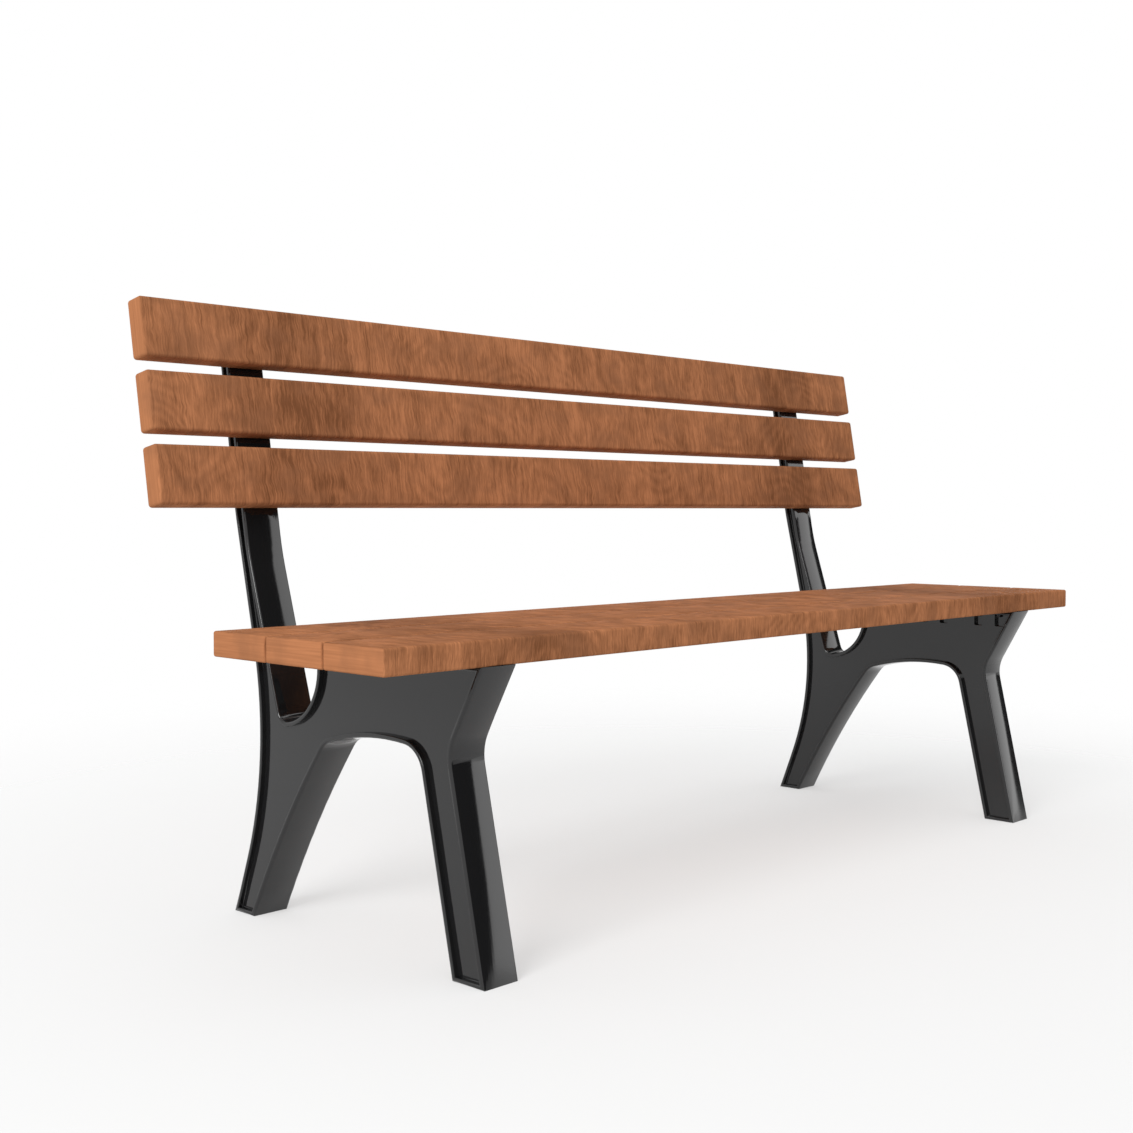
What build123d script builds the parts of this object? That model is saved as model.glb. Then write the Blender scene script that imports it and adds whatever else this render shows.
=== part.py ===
"""Garden bench: two cast end frames carry three seat planks and three back slats, held by screws.

Millimetres, +Z up, X along the bench and -Y towards the sitter's knees. The origin lies on the ground,
in the middle of the four anchor sockets under the feet.
"""

import os
from math import cos, radians, sin

from build123d import *

# Timber
bench_length = 1800
seat_height = 448
plank_names = ["front", "middle", "rear"]
plank_width = 118
plank_thickness = 35
plank_gap = 2.5
slat_names = ["bottom", "middle", "top"]
slat_width = 87.5
slat_thickness = 34
slat_gap = 19.5
plank_rounding = 2.5
slat_rounding = 5
back_tilt = 10
back_rise = 170
back_gap = 128

# End frame casting, seen from the side
frame_setback = 192
frame_thickness = 63
recess_depth = 8
rim_width = 6.5
casting_rounding = 3
recess_rounding = 2
rim_rounding = 1.5
toe_reach = 2
front_foot_depth = 60.5
rear_foot_depth = 49
heel_reach = 192
nose_setback = 2
knee_setback = 65
knee_drop = 115
knee_radius = 60
rail_depth = 112
arch_spring_drop = 6
arch_corner_radius = 42
arch_crown_setback = 195
haunch_reach = 31
haunch_drop = 21
haunch_radius = 40
rear_leg_bow = 8
plank_overhang = 15.5
notch_shoulder_drop = 27
notch_depth = 112
notch_reach = 73
notch_radius = 18
post_bend_drop = 64
post_bend_radius = 400
post_root_depth = 24
post_tip_depth = 19
post_tip_drop = 10
post_tip_radius = 5
waist_radius = 500
hollow_reach = 100
hollow_drop = 173
hollow_radius = 560
screw_pocket_depth = 16
screw_pocket_width = 18
screw_pocket_height = 24
screw_pocket_rounding = 3

# Screws, washers and the holes that take them
seat_screw_diameter = 6
seat_screw_length = 35
seat_head_across_flats = 10
seat_head_height = 4
seat_washer_diameter = 11
seat_washer_thickness = 1.6
seat_screw_pitch = 44
back_screw_diameter = 8
back_screw_length = 48
back_head_across_flats = 13
back_head_height = 5.3
back_washer_diameter = 18
back_washer_thickness = 2
back_screw_pitch = 32
spot_face_depth = 1
spot_face_margin = 1
screw_clearance = 0.4
hole_clearance = 1
point_taper = 0.35
pilot_margin = 1
anchor_socket_diameter = 8.5
anchor_socket_depth = 28

# Places that follow from the sizes above
plank_count = len(plank_names)
slat_count = len(slat_names)
seat_depth = plank_count * plank_width + (plank_count - 1) * plank_gap
back_length = slat_count * slat_width + (slat_count - 1) * slat_gap
front_anchor_setback = front_foot_depth / 2 - toe_reach
rear_anchor_setback = seat_depth + heel_reach - rear_foot_depth / 2
seat_front = -(front_anchor_setback + rear_anchor_setback) / 2
seat_rear = seat_front + seat_depth
ledge_height = seat_height - plank_thickness
ledge_screw_inset = (screw_pocket_depth + rim_rounding) / 2
tilt = radians(back_tilt)
frame_reach = bench_length / 2 - frame_setback
frame_sides = {"left": -frame_reach, "right": frame_reach}
inner_reach = frame_reach - frame_thickness / 2
inner_faces = {"left": -inner_reach, "right": inner_reach}
ledge_screw_reach = inner_reach + ledge_screw_inset
ledge_screw_sides = {"left": -ledge_screw_reach, "right": ledge_screw_reach}

os.makedirs("parts", exist_ok=True)


def on_back(up, behind):
    """Y and Z of a point up the tilted back from the slats' lowest front edge, and behind their front."""
    y = seat_rear + back_gap + up * sin(tilt) + behind * cos(tilt)
    z = seat_height + back_rise + up * cos(tilt) - behind * sin(tilt)
    return y, z


def back_plane(up, behind, x=0):
    """Plane across the tilted back that looks backwards, its X along the bench and its Y down the back."""
    y, z = on_back(up, behind)
    return Plane(origin=(x, y, z), x_dir=(1, 0, 0), z_dir=(0, cos(tilt), -sin(tilt)))


def post_depth(up):
    """Depth of the back post, which tapers from the lowest slat to its tip."""
    return post_root_depth + (post_tip_depth - post_root_depth) * up / (back_length - post_tip_drop)


def plank_centre(index):
    """Y of the middle of a seat plank, counted from the front."""
    return seat_front + plank_width / 2 + index * (plank_width + plank_gap)


def plank_screws(index):
    """Y of the two screws under a seat plank at one frame."""
    return [plank_centre(index) + sign * seat_screw_pitch / 2 for sign in (-1, 1)]


def slat_centre(index):
    """Middle of a back slat, measured up the back, counted from the lowest."""
    return slat_width / 2 + index * (slat_width + slat_gap)


def slat_screw_heights(index):
    """The two screws of a slat on one post, measured up the back."""
    return [slat_centre(index) + sign * back_screw_pitch / 2 for sign in (-1, 1)]


def screw_seat(up):
    """How far behind the slats' front the washer of a back screw sits, on its spot face."""
    return slat_thickness + post_depth(up) - spot_face_depth


def save(piece, name):
    """Label a finished piece and write its file."""
    piece.part.label = name
    export_step(piece.part, f"parts/{name}.step")


# Corners of the end frame's outline as Y and Z, from the toe round by the seat, the post and the heel
toe = (seat_front - toe_reach, 0)
knee = (seat_front + knee_setback, ledge_height - knee_drop)
nose = (seat_front + nose_setback, ledge_height)
ledge_end = (seat_rear - plank_overhang, ledge_height)
notch_shoulder = (ledge_end[0], ledge_height - notch_shoulder_drop)
notch_root = (seat_rear + notch_reach, ledge_height - notch_depth)
post_bend = on_back(-post_bend_drop, slat_thickness)
tip_front = on_back(back_length - post_tip_drop, slat_thickness)
tip_rear = on_back(back_length - post_tip_drop, slat_thickness + post_tip_depth)
waist = on_back(0, slat_thickness + post_root_depth)
hollow = (seat_rear + hollow_reach, ledge_height - hollow_drop)
heel = (seat_rear + heel_reach, 0)
rear_sole = (heel[0] - rear_foot_depth, 0)
haunch = (seat_rear - haunch_reach, ledge_height - rail_depth - haunch_drop)
arch_crown = (seat_front + arch_crown_setback, ledge_height - rail_depth)
spring_height = ledge_height - rail_depth - arch_spring_drop
leg_rake = (knee[0] - toe[0]) / knee[1]
front_sole = (toe[0] + front_foot_depth, 0)
arch_spring = (front_sole[0] + leg_rake * spring_height, spring_height)

rounded_corners = {
    knee: knee_radius,
    notch_root: notch_radius,
    post_bend: post_bend_radius,
    tip_front: post_tip_radius,
    tip_rear: post_tip_radius,
    waist: waist_radius,
    hollow: hollow_radius,
    arch_spring: arch_corner_radius,
}


def side_view(inset):
    """Side view of the end frame with its corners rounded, drawn inset from its edge."""
    with BuildSketch() as view:
        with BuildLine():
            Polyline(toe, knee, nose, ledge_end, notch_shoulder)
            TangentArc(notch_shoulder, notch_root, tangent=(0, -1))
            Polyline(notch_root, post_bend, tip_front, tip_rear, waist, hollow, heel, rear_sole)
            SagittaArc(rear_sole, haunch, -rear_leg_bow)
            ThreePointArc(haunch, arch_crown, arch_spring)
            Polyline(arch_spring, front_sole, toe)
        make_face()
        for corner, radius in rounded_corners.items():
            fillet(view.vertices().sort_by_distance((*corner, 0))[0], radius)
        offset(amount=-inset, kind=Kind.INTERSECTION, mode=Mode.REPLACE)
        fillet(view.vertices().sort_by_distance((*haunch, 0))[0], haunch_radius + inset)
    return view.sketch


frame_outline = side_view(0)
recess_outline = side_view(rim_width)

# End frames: leg pair, seat rail and back post in one casting, with a recessed web inside a raised rim
for side, frame_x in frame_sides.items():
    with BuildPart() as end_frame:
        with BuildSketch(Plane.YZ.offset(frame_x)):
            add(frame_outline)
        extrude(amount=frame_thickness / 2, both=True)
        for outward in (-1, 1):
            with BuildSketch(Plane.YZ.offset(frame_x + outward * frame_thickness / 2)):
                add(recess_outline)
            extrude(amount=-outward * recess_depth, mode=Mode.SUBTRACT)
        # Casting radii: the floor of each recess first, then the rim's outer and inner edges
        for recess_floor in (1, -2):
            side_faces = end_frame.faces().filter_by(Axis.X).group_by(Axis.X)
            fillet(side_faces[recess_floor].edges(), recess_rounding)
        for rim in (0, -1):
            side_faces = end_frame.faces().filter_by(Axis.X).group_by(Axis.X)
            fillet(side_faces[rim][0].outer_wire().edges(), casting_rounding)
            side_faces = end_frame.faces().filter_by(Axis.X).group_by(Axis.X)
            fillet(side_faces[rim][0].inner_wires()[0].edges(), rim_rounding)
        # Pockets under the ledge, on the side towards the other frame, make room for the seat screws' heads
        pocket_height = ledge_height - rim_width - screw_pocket_height / 2
        screw_places = [y for index in range(plank_count) for y in plank_screws(index)]
        with BuildSketch(Plane.YZ.offset(inner_faces[side])):
            with Locations([(y, pocket_height) for y in screw_places]):
                RectangleRounded(screw_pocket_width, screw_pocket_height, screw_pocket_rounding)
        extrude(amount=screw_pocket_depth, both=True, mode=Mode.SUBTRACT)
        # Seat screws rise through the ledge from those pockets
        with Locations([Plane((ledge_screw_sides[side], y, ledge_height)) for y in screw_places]):
            Hole((seat_screw_diameter + hole_clearance) / 2, depth=rim_width)
        # Back screws pass through the post and their washers sit on spot faces
        for index in range(slat_count):
            for up in slat_screw_heights(index):
                with Locations(back_plane(up, slat_thickness + post_root_depth, frame_x)):
                    CounterBoreHole(
                        radius=(back_screw_diameter + hole_clearance) / 2,
                        counter_bore_radius=back_washer_diameter / 2 + spot_face_margin,
                        counter_bore_depth=slat_thickness + post_root_depth - screw_seat(up),
                        depth=post_root_depth,
                    )
        # Blind sockets in the soles take ground anchors
        for setback in (front_anchor_setback, rear_anchor_setback):
            with Locations(Plane((frame_x, seat_front + setback, 0), z_dir=(0, 0, -1))):
                Hole(anchor_socket_diameter / 2, depth=anchor_socket_depth)
    save(end_frame, f"{side}_end_frame")

# Seat planks, with pilot holes drilled up from below
seat_screw_bite = seat_screw_length - rim_width - seat_washer_thickness
for index in range(plank_count):
    centre = plank_centre(index)
    with BuildPart() as plank:
        with BuildSketch(Plane((0, centre, ledge_height))):
            Rectangle(bench_length, plank_width)
        extrude(amount=plank_thickness)
        fillet(plank.edges(), plank_rounding)
        with Locations(Plane((0, centre, ledge_height), z_dir=(0, 0, -1))):
            across = [sign * seat_screw_pitch / 2 for sign in (-1, 1)]
            with Locations([(x, y) for x in ledge_screw_sides.values() for y in across]):
                Hole((seat_screw_diameter + screw_clearance) / 2, depth=seat_screw_bite + pilot_margin)
    save(plank, f"{plank_names[index]}_seat_plank")

# Back slats, with pilot holes drilled in from behind
for index in range(slat_count):
    with BuildPart() as slat:
        with BuildSketch(back_plane(slat_centre(index), 0)):
            Rectangle(bench_length, slat_width)
        extrude(amount=slat_thickness)
        fillet(slat.edges(), slat_rounding)
        for frame_x in frame_sides.values():
            for up in slat_screw_heights(index):
                bite = back_screw_length - back_washer_thickness - (screw_seat(up) - slat_thickness)
                with Locations(back_plane(up, slat_thickness, frame_x)):
                    Hole((back_screw_diameter + screw_clearance) / 2, depth=bite + pilot_margin)
    save(slat, f"{slat_names[index]}_back_slat")


def hex_screws(planes, diameter, length, across_flats, head_height):
    """Hexagon head screws, one on each plane, the head along the plane's Z and the point away from it."""
    with BuildPart() as screws:
        for plane in planes:
            with BuildSketch(plane):
                RegularPolygon(across_flats / 2, 6, major_radius=False)
            extrude(amount=head_height)
            with BuildSketch(plane):
                Circle(diameter / 2)
            extrude(amount=-length)
        points = screws.faces().filter_by(GeomType.PLANE).filter_by(lambda face: face.area < diameter**2)
        chamfer(points.edges().filter_by(GeomType.CIRCLE), diameter * point_taper)
    return screws


def flat_washers(planes, diameter, bore, thickness):
    """Flat washers, one on each plane, standing out along the plane's Z."""
    with BuildPart() as washers:
        for plane in planes:
            with BuildSketch(plane):
                Circle(diameter / 2)
                Circle(bore / 2, mode=Mode.SUBTRACT)
            extrude(amount=thickness)
    return washers


# Seat fasteners: two screws and washers under each plank at each frame, one behind the other
for side, screw_x in ledge_screw_sides.items():
    for index, plank_name in enumerate(plank_names):
        seats = [
            Plane((screw_x, y, ledge_height - rim_width), z_dir=(0, 0, -1)) for y in plank_screws(index)
        ]
        heads = [seat.offset(seat_washer_thickness) for seat in seats]
        bore = seat_screw_diameter + screw_clearance
        screws = hex_screws(
            heads, seat_screw_diameter, seat_screw_length, seat_head_across_flats, seat_head_height
        )
        save(screws, f"{side}_{plank_name}_seat_screws")
        washers = flat_washers(seats, seat_washer_diameter, bore, seat_washer_thickness)
        save(washers, f"{side}_{plank_name}_seat_washers")

# Back fasteners: two screws and washers behind each slat on each post, one above the other
for side, frame_x in frame_sides.items():
    for index, slat_name in enumerate(slat_names):
        seats = [back_plane(up, screw_seat(up), frame_x) for up in slat_screw_heights(index)]
        heads = [seat.offset(back_washer_thickness) for seat in seats]
        bore = back_screw_diameter + screw_clearance
        screws = hex_screws(
            heads, back_screw_diameter, back_screw_length, back_head_across_flats, back_head_height
        )
        save(screws, f"{side}_{slat_name}_back_screws")
        washers = flat_washers(seats, back_washer_diameter, bore, back_washer_thickness)
        save(washers, f"{side}_{slat_name}_back_washers")
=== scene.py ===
import math

import bmesh
import bpy
from mathutils import Matrix, Vector
from mathutils.kdtree import KDTree


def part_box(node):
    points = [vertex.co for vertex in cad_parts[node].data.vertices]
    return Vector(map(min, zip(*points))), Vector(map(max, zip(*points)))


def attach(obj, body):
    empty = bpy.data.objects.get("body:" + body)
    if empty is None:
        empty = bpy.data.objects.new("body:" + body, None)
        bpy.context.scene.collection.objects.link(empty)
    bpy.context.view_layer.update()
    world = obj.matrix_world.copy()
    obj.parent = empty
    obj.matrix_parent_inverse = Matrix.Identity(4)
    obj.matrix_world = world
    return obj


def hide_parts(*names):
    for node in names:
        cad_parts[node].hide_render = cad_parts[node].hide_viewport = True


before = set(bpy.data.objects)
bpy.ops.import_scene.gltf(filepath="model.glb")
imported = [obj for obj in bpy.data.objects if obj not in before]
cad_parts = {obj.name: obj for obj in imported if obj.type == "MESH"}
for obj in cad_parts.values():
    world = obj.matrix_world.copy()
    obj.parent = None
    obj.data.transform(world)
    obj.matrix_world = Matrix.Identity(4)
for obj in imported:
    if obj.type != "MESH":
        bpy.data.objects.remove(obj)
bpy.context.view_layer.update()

# End frames: front leg, rear leg, seat rail and back post of each end are one iron casting, sprayed with
# gloss black paint. The narrow faces rise slightly towards their middle, as a mould leaves them, except
# where timber or the ground bears on them.
casting_paint = bpy.data.materials.new("gloss_black_casting_paint")
casting_paint.use_nodes = True
nodes, links = casting_paint.node_tree.nodes, casting_paint.node_tree.links
paint = nodes["Principled BSDF"]
paint.inputs["Base Color"].default_value = (0.009, 0.009, 0.0095, 1)
paint.inputs["IOR"].default_value = 1.52
place = nodes.new("ShaderNodeTexCoord")
sand_skin = nodes.new("ShaderNodeTexNoise")
sand_skin.inputs["Scale"].default_value = 300
sand_skin.inputs["Detail"].default_value = 3
links.new(place.outputs["Object"], sand_skin.inputs["Vector"])
paint_flow = nodes.new("ShaderNodeTexNoise")
paint_flow.inputs["Scale"].default_value = 16
paint_flow.inputs["Detail"].default_value = 1
links.new(place.outputs["Object"], paint_flow.inputs["Vector"])
gloss = nodes.new("ShaderNodeMapRange")
gloss.inputs["To Min"].default_value = 0.04
gloss.inputs["To Max"].default_value = 0.12
links.new(paint_flow.outputs["Fac"], gloss.inputs["Value"])
links.new(gloss.outputs["Result"], paint.inputs["Roughness"])
skin_bump = nodes.new("ShaderNodeBump")
skin_bump.inputs["Strength"].default_value = 0.03
skin_bump.inputs["Distance"].default_value = 0.0006
links.new(sand_skin.outputs["Fac"], skin_bump.inputs["Height"])
links.new(skin_bump.outputs["Normal"], paint.inputs["Normal"])

# How far the narrow faces rise, and how far from the slats and the ground the rise is in full
crown = 0.0026
crown_strips = 12
crown_fade = 0.02
sole_fade = 0.03
ledge_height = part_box("front_seat_plank")[0].z
slats_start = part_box("bottom_back_slat")[0].z
bearing_depth = 0.0032

# The casting's own sizes, and what tells its narrow faces, its rim's flat and its ledge from the rest
edge_rounding = 0.003
recess_depth = 0.008
recess_rounding = 0.002
pocket_reach = 0.012
narrow_face_span = 0.8
rim_flat_facing = 0.995
ledge_facing = 0.1
sharp_corner = math.radians(40)
touching = 1e-5
same_point = 1e-6


def smoothly_joined(faces, belongs):
    """These faces and all that run on from them round no sharp corner, as far as they belong."""
    joined = set(faces)
    reached = list(faces)
    while reached:
        face = reached.pop()
        for edge in face.edges:
            for neighbour in edge.link_faces:
                smooth = neighbour.normal.angle(face.normal, math.pi) < sharp_corner
                if smooth and neighbour not in joined and belongs(neighbour):
                    joined.add(neighbour)
                    reached.append(neighbour)
    return joined


for side in ("left", "right"):
    node = f"{side}_end_frame"
    low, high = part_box(node)
    middle, half = (low.x + high.x) / 2, (high.x - low.x) / 2
    skin = bmesh.new()
    skin.from_mesh(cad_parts[node].data)
    bmesh.ops.remove_doubles(skin, verts=skin.verts, dist=same_point)

    # The triangles of the rounded edges are turned to run along them, so that they leave no steps
    depths = {vertex: half - abs(vertex.co.x - middle) for vertex in skin.verts}
    wall_end = recess_depth - recess_rounding
    rounded = set()
    for face in skin.faces:
        least, *_, most = sorted(depths[vertex] for vertex in face.verts)
        on_one_side = len({vertex.co.x > middle for vertex in face.verts}) == 1
        on_edge = touching < most < edge_rounding + touching
        in_corner = (wall_end - touching < least < recess_depth - touching
                     and most < recess_depth + touching)
        if on_one_side and (on_edge or in_corner):
            rounded.add(face)
    inner_edges = [edge for edge in skin.edges if all(face in rounded for face in edge.link_faces)]
    bmesh.ops.beautify_fill(skin, faces=list(rounded), edges=inner_edges, method="ANGLE")
    skin.normal_update()

    # The recess has a crisp inner corner: its rounding is drawn down to the foot of the recess wall,
    # except under the ledge, where the screw pockets break into it
    web = [face for face in skin.faces
           if all(abs(depths[vertex] - recess_depth) < touching for vertex in face.verts)]
    corner = smoothly_joined(web, lambda face: all(depths[vertex] > wall_end - touching
                                                   for vertex in face.verts))
    corner_vertices = [vertex for vertex in skin.verts
                       if any(face in corner for face in vertex.link_faces)]
    wall_foot = KDTree(len(corner_vertices))
    for index, vertex in enumerate(corner_vertices):
        if depths[vertex] < wall_end + touching:
            wall_foot.insert(vertex.co, index)
    wall_foot.balance()
    for vertex in corner_vertices:
        under_ledge = vertex.co.z > ledge_height - pocket_reach
        if not under_ledge and wall_end + touching < depths[vertex] < recess_depth - touching:
            vertex.co = wall_foot.find(vertex.co)[0]
            vertex.co.x = middle + math.copysign(half - recess_depth, vertex.co.x - middle)
    bmesh.ops.remove_doubles(skin, verts=skin.verts, dist=same_point)
    skin.normal_update()

    # The narrow faces are cut into strips along the casting, and at the heights where their rise fades
    narrow = skin.faces.layers.int.new("narrow")
    for face in skin.faces:
        across = [vertex.co.x for vertex in face.verts]
        face[narrow] = max(across) - min(across) > 2 * half * narrow_face_span
    cuts = []
    for strip in range(1, crown_strips):
        cuts.append(((low.x + 2 * half * strip / crown_strips, 0, 0), (1, 0, 0)))
    for height in (slats_start - crown_fade, slats_start):
        cuts.append(((0, 0, height), (0, 0, 1)))
    for point, facing in cuts:
        everything = skin.verts[:] + skin.edges[:] + skin.faces[:]
        bmesh.ops.bisect_plane(skin, geom=everything, dist=same_point, plane_co=point, plane_no=facing)

    # The rounded corners that run into the narrow faces go with them, up to the flat of the rim
    crowned = smoothly_joined([face for face in skin.faces if face[narrow]],
                              lambda face: abs(face.normal.x) < rim_flat_facing)
    moves = []
    for vertex in skin.verts:
        outward = sum((face.normal for face in vertex.link_faces if face in crowned), Vector())
        outward.x = 0
        if outward.length == 0:
            continue
        outward.normalize()
        on_ledge = abs(vertex.co.z - ledge_height) < bearing_depth and outward.z > ledge_facing
        if on_ledge or vertex.co.z < bearing_depth:
            outward.z = 0
        below_slats = min(1, max(0, (slats_start - vertex.co.z) / crown_fade))
        above_ground = min(1, vertex.co.z / sole_fade)
        rise = crown * (1 - ((vertex.co.x - middle) / half) ** 2) * below_slats * above_ground
        moves.append((vertex, outward * rise))
    for vertex, move in moves:
        vertex.co += move
    skin.normal_update()
    skin.faces.layers.int.remove(narrow)
    for face in skin.faces:
        face.smooth = True
    for edge in skin.edges:
        edge.smooth = edge.calc_face_angle(math.pi) < sharp_corner
    mesh = bpy.data.meshes.new(f"{side}_casting")
    skin.to_mesh(mesh)
    skin.free()
    mesh.materials.clear()
    mesh.materials.append(casting_paint)
    casting = bpy.data.objects.new(f"{side}_casting", mesh)
    bpy.context.collection.objects.link(casting)
    flat_first = casting.modifiers.new("flat_first", "WEIGHTED_NORMAL")
    flat_first.keep_sharp = True
    flat_first.weight = 100
    shaded = casting.evaluated_get(bpy.context.evaluated_depsgraph_get())
    casting.data = bpy.data.meshes.new_from_object(shaded)
    casting.modifiers.clear()
    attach(casting, "root")
    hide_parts(node)

# Timber: planed hardwood with eased edges, stained a warm brown and oiled. Fine wavy streaks and broad
# darker bands run across each board, with soft grey-brown clouds where the stain soaked in.
stained_wood = bpy.data.materials.new("stained_hardwood")
stained_wood.use_nodes = True
nodes, links = stained_wood.node_tree.nodes, stained_wood.node_tree.links
oil = nodes["Principled BSDF"]
oil.inputs["Specular IOR Level"].default_value = 0.005
grain = nodes.new("ShaderNodeAttribute")
grain.attribute_name = "grain"


def stretched_noise(coordinates, scale, detail):
    """Noise with its own scale along the board, across it and through it."""
    stretch = nodes.new("ShaderNodeMapping")
    stretch.inputs["Scale"].default_value = scale
    links.new(coordinates, stretch.inputs["Vector"])
    noise = nodes.new("ShaderNodeTexNoise")
    noise.inputs["Scale"].default_value = 1
    noise.inputs["Detail"].default_value = detail
    links.new(stretch.outputs["Vector"], noise.inputs["Vector"])
    return noise.outputs["Fac"]


def worked_out(operation, first, second):
    """One step of arithmetic on a value and a number or another value."""
    step = nodes.new("ShaderNodeMath")
    step.operation = operation
    links.new(first, step.inputs[0])
    if isinstance(second, (int, float)):
        step.inputs[1].default_value = second
    else:
        links.new(second, step.inputs[1])
    return step.outputs["Value"]


def spread(value, amount):
    """A noise value moved to swing about nought by an amount."""
    return worked_out("MULTIPLY", worked_out("SUBTRACT", value, 0.5), amount)


streak_wander = 0.014
wander = nodes.new("ShaderNodeCombineXYZ")
waviness = stretched_noise(grain.outputs["Vector"], (26, 34, 20), 2)
links.new(spread(waviness, streak_wander), wander.inputs["X"])
wavy = nodes.new("ShaderNodeVectorMath")
links.new(grain.outputs["Vector"], wavy.inputs[0])
links.new(wander.outputs["Vector"], wavy.inputs[1])
wavy_grain = wavy.outputs["Vector"]

streak_contrast = 0.85
mottle_contrast = 0.7
fibre_contrast = 0.55
ring_contrast = 0.05
ring_turns = 120
fine_streaks = stretched_noise(wavy_grain, (430, 13, 30), 4)
short_fibres = stretched_noise(wavy_grain, (620, 70, 90), 2)
ring_field = stretched_noise(wavy_grain, (5, 4, 5), 1)
growth_rings = worked_out("SINE", worked_out("MULTIPLY", ring_field, ring_turns), 0)
mottle = stretched_noise(grain.outputs["Vector"], (26, 17, 20), 3)
tone = worked_out("ADD", spread(fine_streaks, streak_contrast), spread(mottle, mottle_contrast))
tone = worked_out("ADD", tone, spread(short_fibres, fibre_contrast))
tone = worked_out("ADD", tone, worked_out("MULTIPLY", growth_rings, ring_contrast))

# A darker band of heartwood crosses every board a little way in from each end
heartwood_place = 0.64
heartwood_reach = 0.17
grain_parts = nodes.new("ShaderNodeSeparateXYZ")
links.new(wavy_grain, grain_parts.inputs["Vector"])
from_middle = worked_out("ABSOLUTE", grain_parts.outputs["X"], 0)
from_heartwood = worked_out("SUBTRACT", from_middle, heartwood_place)
heartwood = nodes.new("ShaderNodeMapRange")
heartwood.interpolation_type = "SMOOTHSTEP"
heartwood.inputs["From Min"].default_value = 0
heartwood.inputs["From Max"].default_value = heartwood_reach
heartwood.inputs["To Min"].default_value = 0.33
heartwood.inputs["To Max"].default_value = 0.55
links.new(worked_out("ABSOLUTE", from_heartwood, 0), heartwood.inputs["Value"])
tone = worked_out("ADD", tone, heartwood.outputs["Result"])

# Board ends are sawn across, so they show fine level lines, more even than the grain of the faces
facing = nodes.new("ShaderNodeNewGeometry")
facing_parts = nodes.new("ShaderNodeSeparateXYZ")
links.new(facing.outputs["Normal"], facing_parts.inputs["Vector"])
board_end = nodes.new("ShaderNodeMapRange")
board_end.inputs["From Min"].default_value = 0.55
board_end.inputs["From Max"].default_value = 0.85
links.new(worked_out("ABSOLUTE", facing_parts.outputs["X"], 0), board_end.inputs["Value"])
end_contrast = 0.45
# Both ends are drawn a little lighter than the faces: painted light on the end faces
painted_end_light = 0.6
end_lines = stretched_noise(grain.outputs["Vector"], (3, 10, 420), 3)
end_tone = worked_out("ADD", spread(end_lines, end_contrast), painted_end_light)
shown_tone = nodes.new("ShaderNodeMix")
links.new(board_end.outputs["Result"], shown_tone.inputs["Factor"])
links.new(tone, shown_tone.inputs["A"])
links.new(end_tone, shown_tone.inputs["B"])

stain = nodes.new("ShaderNodeValToRGB")
stain.color_ramp.elements[0].position = 0.2
stain.color_ramp.elements[0].color = (0.218, 0.086, 0.0375, 1)
stain.color_ramp.elements[1].position = 0.8
stain.color_ramp.elements[1].color = (0.555, 0.228, 0.103, 1)
links.new(shown_tone.outputs["Result"], stain.inputs["Fac"])
cloud_fade = nodes.new("ShaderNodeMapRange")
cloud_fade.inputs["From Min"].default_value = 0.48
cloud_fade.inputs["From Max"].default_value = 0.68
cloud_fade.inputs["To Max"].default_value = 0.45
links.new(stretched_noise(grain.outputs["Vector"], (15, 21, 15), 3), cloud_fade.inputs["Value"])
clouded = nodes.new("ShaderNodeMix")
clouded.data_type = "RGBA"
clouded.inputs["B"].default_value = (0.29, 0.125, 0.062, 1)
links.new(cloud_fade.outputs["Result"], clouded.inputs["Factor"])
links.new(stain.outputs["Color"], clouded.inputs["A"])
links.new(clouded.outputs["Result"], oil.inputs["Base Color"])
sheen = nodes.new("ShaderNodeMapRange")
sheen.inputs["To Min"].default_value = 0.5
sheen.inputs["To Max"].default_value = 0.7
links.new(fine_streaks, sheen.inputs["Value"])
links.new(sheen.outputs["Result"], oil.inputs["Roughness"])
pores = nodes.new("ShaderNodeBump")
pores.inputs["Strength"].default_value = 0.2
pores.inputs["Distance"].default_value = 0.0008
links.new(fine_streaks, pores.inputs["Height"])
links.new(pores.outputs["Normal"], oil.inputs["Normal"])


def board(node, lean, rounding, cut):
    """A board with rounded edges in place of a CAD board, with its lean and its own cut of the grain."""
    low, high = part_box(node)
    upright = Matrix.Rotation(-lean, 4, "X") @ Matrix.Translation(-(low + high) / 2)
    corners = [upright @ vertex.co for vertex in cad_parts[node].data.vertices]
    size = [2 * max(abs(corner[axis]) for corner in corners) for axis in range(3)]
    shape = bmesh.new()
    bmesh.ops.create_cube(shape, size=1)
    bmesh.ops.scale(shape, vec=size, verts=shape.verts)
    bmesh.ops.bevel(shape, geom=shape.edges[:], offset=rounding, offset_type="OFFSET", segments=6,
                    profile=0.5, affect="EDGES", clamp_overlap=True)
    mesh = bpy.data.meshes.new(node)
    shape.to_mesh(mesh)
    shape.free()
    along_across_through = mesh.attributes.new("grain", "FLOAT_VECTOR", "POINT")
    for vertex, value in zip(mesh.vertices, along_across_through.data):
        value.vector = vertex.co + cut
    mesh.transform(upright.inverted())
    mesh.shade_smooth()
    mesh.materials.append(stained_wood)
    piece = bpy.data.objects.new(f"stained_{node}", mesh)
    bpy.context.collection.objects.link(piece)
    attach(piece, "root")
    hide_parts(node)


# Seat: three wide planks of the stained hardwood. They lie side by side on the castings' ledges, with a
# narrow gap for water, and are screwed down from below.
plank_rounding = 0.0035
for index, row in enumerate(("front", "middle", "rear")):
    board(f"{row}_seat_plank", 0, plank_rounding, Vector((0, 0.9 * index, 0.4 * index)))

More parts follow.
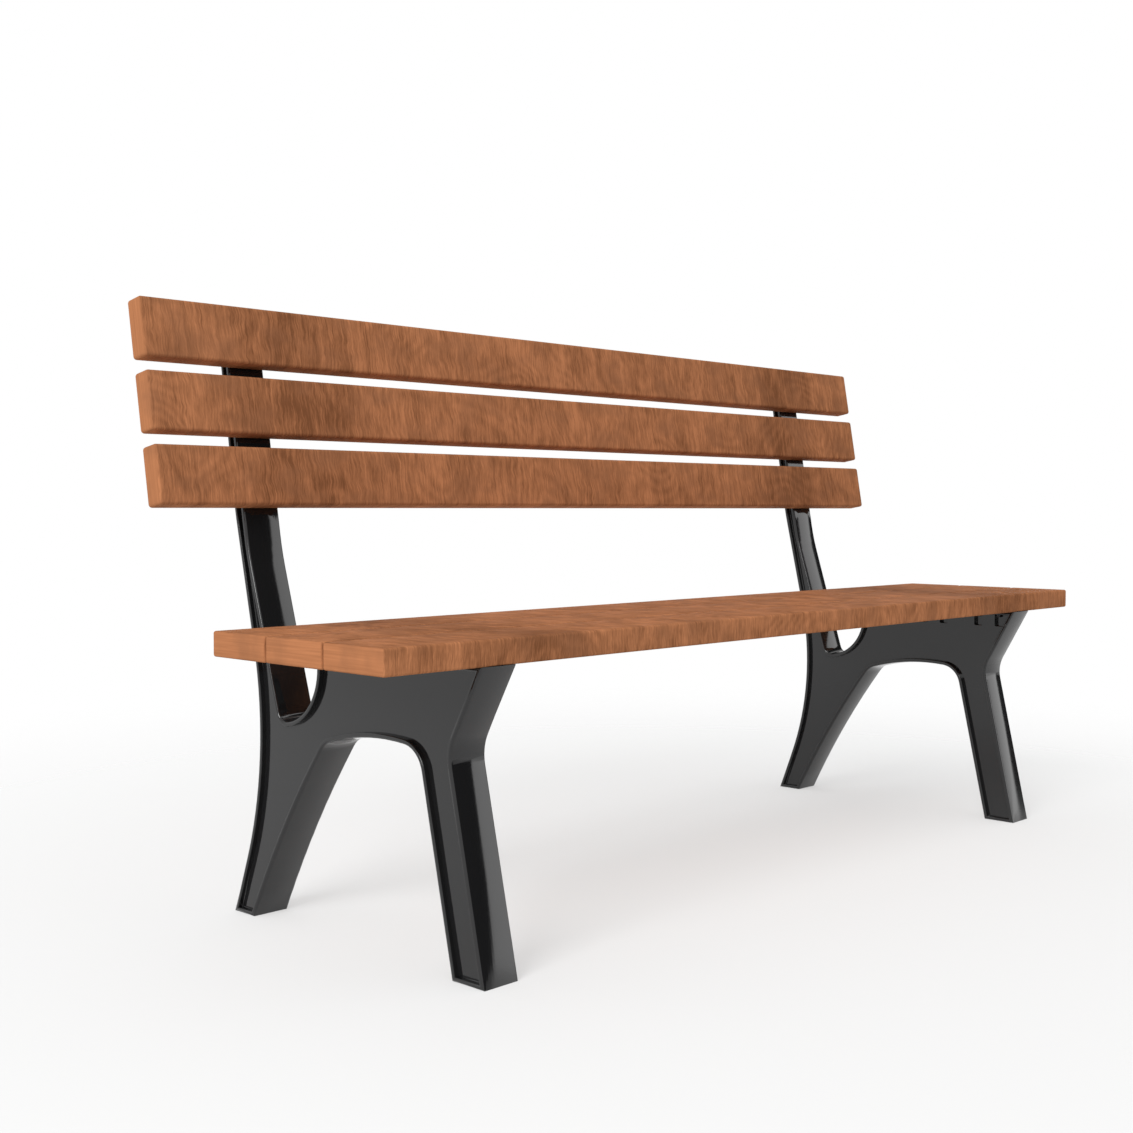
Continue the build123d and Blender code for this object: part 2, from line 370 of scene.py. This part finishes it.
# Back: three narrower slats of the same timber. They lean back against the posts, spaced apart so that
# rain runs off, and are screwed on from behind.
slat_rounding = 0.005
back_tilt = math.radians(10)
for index, row in enumerate(("bottom", "middle", "top")):
    board(f"{row}_back_slat", math.pi / 2 - back_tilt, slat_rounding,
          Vector((0, 5 + 1.1 * index, 3 + index)))

# Fasteners: black-plated steel wood screws with chamfered hexagon heads, each on a flat washer. They go
# up through the castings' ledges into the planks and forward through the posts into the slats.
black_plate = bpy.data.materials.new("black_plated_steel")
black_plate.use_nodes = True
nodes, links = black_plate.node_tree.nodes, black_plate.node_tree.links
plating = nodes["Principled BSDF"]
plating.inputs["Base Color"].default_value = (0.028, 0.028, 0.03, 1)
plating.inputs["Metallic"].default_value = 0.6
place = nodes.new("ShaderNodeTexCoord")
rub = nodes.new("ShaderNodeTexNoise")
rub.inputs["Scale"].default_value = 700
links.new(place.outputs["Object"], rub.inputs["Vector"])
dull = nodes.new("ShaderNodeMapRange")
dull.inputs["To Min"].default_value = 0.28
dull.inputs["To Max"].default_value = 0.5
links.new(rub.outputs["Fac"], dull.inputs["Value"])
links.new(dull.outputs["Result"], plating.inputs["Roughness"])

screw_group = bpy.data.node_groups.new("hexagon_screw_and_washer", "GeometryNodeTree")
nodes, links = screw_group.nodes, screw_group.links
sockets = {}
for name, kind in (("Places", "Geometry"), ("Across Flats", "Float"), ("Head Height", "Float"),
                   ("Shank Diameter", "Float"), ("Shank Length", "Float"), ("Washer Diameter", "Float"),
                   ("Washer Thickness", "Float"), ("Lean", "Vector"), ("Seed", "Int"),
                   ("Plating", "Material")):
    sockets[name] = screw_group.interface.new_socket(name, in_out="INPUT",
                                                     socket_type=f"NodeSocket{kind}")
screw_group.interface.new_socket("Screws", in_out="OUTPUT", socket_type="NodeSocketGeometry")
given = nodes.new("NodeGroupInput").outputs


def turned_bar(sides, radius, length, start):
    """A round or many-sided bar standing on the washer's seat plane at a start height."""
    bar = nodes.new("GeometryNodeMeshCylinder")
    bar.inputs["Vertices"].default_value = sides
    links.new(radius, bar.inputs["Radius"])
    links.new(length, bar.inputs["Depth"])
    return lifted(bar.outputs["Mesh"], worked_out("ADD", worked_out("MULTIPLY", length, 0.5), start))


def lifted(geometry, height):
    """A shape moved along the screw's axis."""
    offset = nodes.new("ShaderNodeCombineXYZ")
    links.new(height, offset.inputs["Z"])
    shift = nodes.new("GeometryNodeTransform")
    links.new(geometry, shift.inputs["Geometry"])
    links.new(offset.outputs["Vector"], shift.inputs["Translation"])
    return shift.outputs["Geometry"]


# The head is a hexagon bar cut by a steep-sided cone, which leaves the chamfer round its top
round_sides = 48
shank_sides = 24
chamfer_circle = 0.95
washer_hole = 0.54
flank = worked_out("MULTIPLY", given["Across Flats"], 0.5)
hexagon = turned_bar(6, worked_out("DIVIDE", flank, math.cos(math.pi / 6)),
                     worked_out("MULTIPLY", given["Head Height"], 1.5), given["Washer Thickness"])
chamfer = nodes.new("GeometryNodeMeshCone")
chamfer.inputs["Vertices"].default_value = round_sides
chamfer_depth = worked_out("MULTIPLY", given["Head Height"], 2)
links.new(worked_out("MULTIPLY", flank, chamfer_circle), chamfer.inputs["Radius Top"])
links.new(worked_out("ADD", worked_out("MULTIPLY", chamfer_depth, math.sqrt(3)), flank),
          chamfer.inputs["Radius Bottom"])
links.new(chamfer_depth, chamfer.inputs["Depth"])
chamfer_start = worked_out("SUBTRACT", given["Washer Thickness"], given["Head Height"])
head = nodes.new("GeometryNodeMeshBoolean")
head.operation = "INTERSECT"
links.new(hexagon, head.inputs["Mesh 2"])
links.new(lifted(chamfer.outputs["Mesh"], chamfer_start), head.inputs["Mesh 2"])

washer = nodes.new("GeometryNodeMeshBoolean")
washer.operation = "DIFFERENCE"
disc = turned_bar(round_sides, worked_out("MULTIPLY", given["Washer Diameter"], 0.5),
                  given["Washer Thickness"], 0)
hole = turned_bar(shank_sides, worked_out("MULTIPLY", given["Shank Diameter"], washer_hole),
                  worked_out("MULTIPLY", given["Washer Thickness"], 3),
                  worked_out("MULTIPLY", given["Washer Thickness"], -1))
links.new(disc, washer.inputs["Mesh 1"])
links.new(hole, washer.inputs["Mesh 2"])
shank = turned_bar(shank_sides, worked_out("MULTIPLY", given["Shank Diameter"], 0.5),
                   given["Shank Length"],
                   worked_out("SUBTRACT", given["Washer Thickness"], given["Shank Length"]))
screw = nodes.new("GeometryNodeJoinGeometry")
for shape in (head.outputs["Mesh"], washer.outputs["Mesh"], shank):
    links.new(shape, screw.inputs["Geometry"])

# The two screws of a pair stop at different turns. Input 3 of the random node is its largest number, and
# output 1 is the number drawn
driven_to = nodes.new("FunctionNodeRandomValue")
driven_to.data_type = "FLOAT"
driven_to.inputs[3].default_value = math.pi / 3
links.new(given["Seed"], driven_to.inputs["Seed"])
spin = nodes.new("FunctionNodeAxisAngleToRotation")
links.new(driven_to.outputs[1], spin.inputs["Angle"])
stand = nodes.new("FunctionNodeEulerToRotation")
links.new(given["Lean"], stand.inputs["Euler"])
aimed = nodes.new("FunctionNodeRotateRotation")
aimed.rotation_space = "LOCAL"
links.new(stand.outputs["Rotation"], aimed.inputs["Rotation"])
links.new(spin.outputs["Rotation"], aimed.inputs["Rotate By"])
set_in = nodes.new("GeometryNodeInstanceOnPoints")
links.new(given["Places"], set_in.inputs["Points"])
links.new(screw.outputs["Geometry"], set_in.inputs["Instance"])
links.new(aimed.outputs["Rotation"], set_in.inputs["Rotation"])
real = nodes.new("GeometryNodeRealizeInstances")
links.new(set_in.outputs["Instances"], real.inputs["Geometry"])
plated = nodes.new("GeometryNodeSetMaterial")
links.new(real.outputs["Geometry"], plated.inputs["Geometry"])
links.new(given["Plating"], plated.inputs["Material"])
links.new(plated.outputs["Geometry"], nodes.new("NodeGroupOutput").inputs["Screws"])

screw_crease = math.radians(25)


def driven_screws(name, places, sizes, lean, seed):
    """The screws and washers of one board on one casting, in place of their two CAD nodes."""
    mesh = bpy.data.meshes.new(f"{name}_places")
    mesh.from_pydata(places, [], [])
    seats = bpy.data.objects.new(f"{name}_places", mesh)
    bpy.context.collection.objects.link(seats)
    modifier = seats.modifiers.new("screws", "NODES")
    modifier.node_group = screw_group
    for size_name, value in sizes.items():
        modifier[sockets[size_name].identifier] = value
    modifier[sockets["Lean"].identifier] = (lean, 0, 0)
    modifier[sockets["Seed"].identifier] = seed
    modifier[sockets["Plating"].identifier] = black_plate
    evaluated = seats.evaluated_get(bpy.context.evaluated_depsgraph_get())
    made = bpy.data.meshes.new_from_object(evaluated)
    bpy.data.objects.remove(seats)
    made.name = name
    made.shade_smooth()
    made.set_sharp_from_angle(angle=screw_crease)
    screws = bpy.data.objects.new(name, made)
    bpy.context.collection.objects.link(screws)
    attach(screws, "root")
    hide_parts(f"{name}_screws", f"{name}_washers")


seat_screw = {"Across Flats": 0.010, "Head Height": 0.004, "Shank Diameter": 0.006,
              "Shank Length": 0.035, "Washer Diameter": 0.011, "Washer Thickness": 0.0016}
back_screw = {"Across Flats": 0.013, "Head Height": 0.0053, "Shank Diameter": 0.008,
              "Shank Length": 0.048, "Washer Diameter": 0.018, "Washer Thickness": 0.002}
head_way = Vector((0, math.cos(back_tilt), -math.sin(back_tilt)))
for seed, side in enumerate(("left", "right")):
    for row in ("front", "middle", "rear"):
        low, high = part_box(f"{side}_{row}_seat_washers")
        inset = seat_screw["Washer Diameter"] / 2
        places = [Vector(((low.x + high.x) / 2, y, high.z)) for y in (low.y + inset, high.y - inset)]
        driven_screws(f"{side}_{row}_seat", places, seat_screw, math.pi, seed)
    for row in ("bottom", "middle", "top"):
        rings = [vertex.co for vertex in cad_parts[f"{side}_{row}_back_washers"].data.vertices]
        between = sum(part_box(f"{side}_{row}_back_washers"), Vector()).z / 2
        places = []
        for above in (False, True):
            ring = [point for point in rings if (point.z > between) == above]
            centre = Vector([(min(axis) + max(axis)) / 2 for axis in zip(*ring)])
            places.append(centre - head_way * back_screw["Washer Thickness"] / 2)
        driven_screws(f"{side}_{row}_back", places, back_screw, -math.pi / 2 - back_tilt, seed + 10)

# Studio: a pale floor sheet that fades into a white surround, and one large soft light from the upper
# left. In reflections the surround is dark towards the right front, but for one bright window, so that
# the castings' front faces stay black.
floor_radius = 4.5
floor_mesh = bpy.data.meshes.new("floor")
sheet = bmesh.new()
bmesh.ops.create_circle(sheet, cap_ends=True, radius=floor_radius, segments=96)
sheet.to_mesh(floor_mesh)
sheet.free()
floor = bpy.data.objects.new("floor", floor_mesh)
bpy.context.collection.objects.link(floor)
floor_paint = bpy.data.materials.new("pale_floor")
floor_paint.use_nodes = True
nodes, links = floor_paint.node_tree.nodes, floor_paint.node_tree.links
nodes.clear()
matt = nodes.new("ShaderNodeBsdfDiffuse")
matt.inputs["Color"].default_value = (0.95, 0.95, 0.95, 1)
clear = nodes.new("ShaderNodeBsdfTransparent")
place = nodes.new("ShaderNodeTexCoord")
reach = nodes.new("ShaderNodeVectorMath")
reach.operation = "LENGTH"
links.new(place.outputs["Object"], reach.inputs[0])
fade = nodes.new("ShaderNodeMapRange")
fade.interpolation_type = "SMOOTHSTEP"
fade.inputs["From Min"].default_value = 0.6
fade.inputs["From Max"].default_value = 2.6
fade.inputs["To Min"].default_value = 0.5
links.new(reach.outputs["Value"], fade.inputs["Value"])
blend = nodes.new("ShaderNodeMixShader")
links.new(fade.outputs["Result"], blend.inputs["Fac"])
links.new(matt.outputs["BSDF"], blend.inputs[1])
links.new(clear.outputs["BSDF"], blend.inputs[2])
surface = nodes.new("ShaderNodeOutputMaterial")
links.new(blend.outputs["Shader"], surface.inputs["Surface"])
floor_mesh.materials.append(floor_paint)

surround = bpy.data.worlds.new("white_surround")
bpy.context.scene.world = surround
surround.use_nodes = True
nodes, links = surround.node_tree.nodes, surround.node_tree.links
backdrop = nodes["Background"]
ray = nodes.new("ShaderNodeLightPath")
direction = nodes.new("ShaderNodeTexCoord")
direction_parts = nodes.new("ShaderNodeSeparateXYZ")
links.new(direction.outputs["Generated"], direction_parts.inputs["Vector"])
towards_front = worked_out("MULTIPLY", direction_parts.outputs["Y"], -1)
bearing = nodes.new("ShaderNodeMapRange")
bearing.inputs["From Min"].default_value = -math.pi
bearing.inputs["From Max"].default_value = math.pi
links.new(worked_out("ARCTAN2", direction_parts.outputs["X"], towards_front), bearing.inputs["Value"])
wall = nodes.new("ShaderNodeValToRGB")
links.new(bearing.outputs["Result"], wall.inputs["Fac"])
# The bearings are in degrees, from straight ahead towards the right
dark = (0.04, 0.04, 0.04, 1)
bright = (1, 1, 1, 1)
glowing = (2.2, 2.2, 2.2, 1)
dark_starts, dark_ends = 12, 92
window_starts, window_ends = 45, 66
ahead = 0.5
bright_again = 0.82
stops = wall.color_ramp.elements
stops[0].position = ahead
stops[0].color = bright
stops[1].position = bright_again
stops[1].color = bright
for degrees, shade in ((dark_starts, dark), (window_starts - 1, dark), (window_starts, glowing),
                       (window_ends, glowing), (window_ends + 1, dark), (dark_ends, dark)):
    stop = stops.new(ahead + degrees / 360)
    stop.color = shade
above_floor = nodes.new("ShaderNodeMapRange")
above_floor.inputs["From Min"].default_value = -0.1
above_floor.inputs["From Max"].default_value = 0
links.new(direction_parts.outputs["Z"], above_floor.inputs["Value"])
mirrored = nodes.new("ShaderNodeMix")
mirrored.data_type = "RGBA"
mirrored.inputs["A"].default_value = bright
links.new(worked_out("MULTIPLY", ray.outputs["Is Glossy Ray"], above_floor.outputs["Result"]),
          mirrored.inputs["Factor"])
links.new(wall.outputs["Color"], mirrored.inputs["B"])
links.new(mirrored.outputs["Result"], backdrop.inputs["Color"])
seen = worked_out("ADD", ray.outputs["Is Camera Ray"], ray.outputs["Is Glossy Ray"])
seen = worked_out("ADD", seen, ray.outputs["Is Transmission Ray"])
level = nodes.new("ShaderNodeMapRange")
level.inputs["To Min"].default_value = 0.6
links.new(seen, level.inputs["Value"])
links.new(level.outputs["Result"], backdrop.inputs["Strength"])

light_place = Vector((-20, -5.8, 12))
seat_middle = Vector((0, 0, ledge_height))
lamp = bpy.data.lights.new("left_key", "AREA")
lamp.shape = "RECTANGLE"
lamp.size = 12
lamp.size_y = 12
lamp.energy = 3900
light = bpy.data.objects.new("left_key", lamp)
light.location = light_place
light.rotation_euler = (seat_middle - light_place).to_track_quat("-Z", "Y").to_euler()
bpy.context.collection.objects.link(light)

# Camera: it stands at the photograph's view point, in front of the left end and a little above the seat.
# Place, direction and focal length were fitted to straight edges of the seat, the slats and the frames.
left_of_middle = 2.03241
before_seat = 1.37605
eye_height = 0.61677
look_down = math.radians(2.302)
look_right = math.radians(46.416)
tilt = math.radians(-0.131)
lens = bpy.data.cameras.new("camera")
lens.sensor_width = 36
lens.lens = 47.715
camera = bpy.data.objects.new("camera", lens)
bpy.context.collection.objects.link(camera)
camera.location = (-left_of_middle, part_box("front_seat_plank")[0].y - before_seat, eye_height)
camera.rotation_euler = (math.pi / 2 - look_down, tilt, -look_right)
bpy.context.scene.camera = camera
bpy.context.scene.view_settings.view_transform = "Standard"
